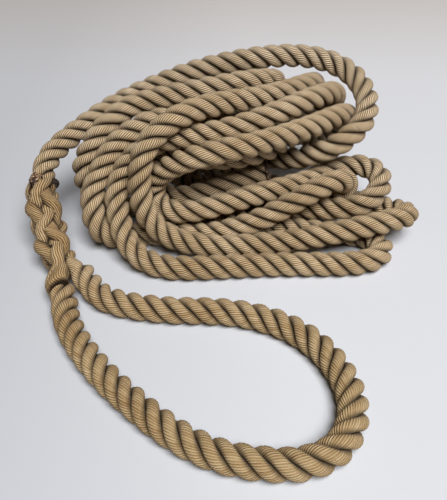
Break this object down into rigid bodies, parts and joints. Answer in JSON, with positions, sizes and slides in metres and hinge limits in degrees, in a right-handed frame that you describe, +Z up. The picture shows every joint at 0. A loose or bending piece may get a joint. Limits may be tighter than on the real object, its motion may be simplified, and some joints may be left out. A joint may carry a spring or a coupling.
{
  "type": "laid rope with a spliced eye",
  "caption": "Thick tan laid rope with a spliced eye at one end, lying as a loose folded hank with the eye spread flat in front.",
  "frame": {"origin": "centre of the bounding box in plan, on the floor that the rope lies on", "axes": "+Z up from the floor, +Y from the eye in front to the hank behind, +X to the right as seen from the eye"},
  "size_m": [0.3944, 0.4376, 0.1606],
  "materials": {
    "rope": "matt spun yarn, slightly fuzzy",
    "melted_ends": "melted and hardened, dull"
  },
  "bodies": {
    "root": {"eye_loop": "rope", "splice_core": "rope", "tucked_strand_1": "rope", "tucked_strand_2": "rope", "tucked_strand_3": "rope", "melted_strand_tip_1": "melted_ends", "melted_strand_tip_2": "melted_ends", "melted_strand_tip_3": "melted_ends", "standing_part": "rope", "hank": "rope", "sealed_rope_end": "melted_ends"}
  },
  "joints": []
}
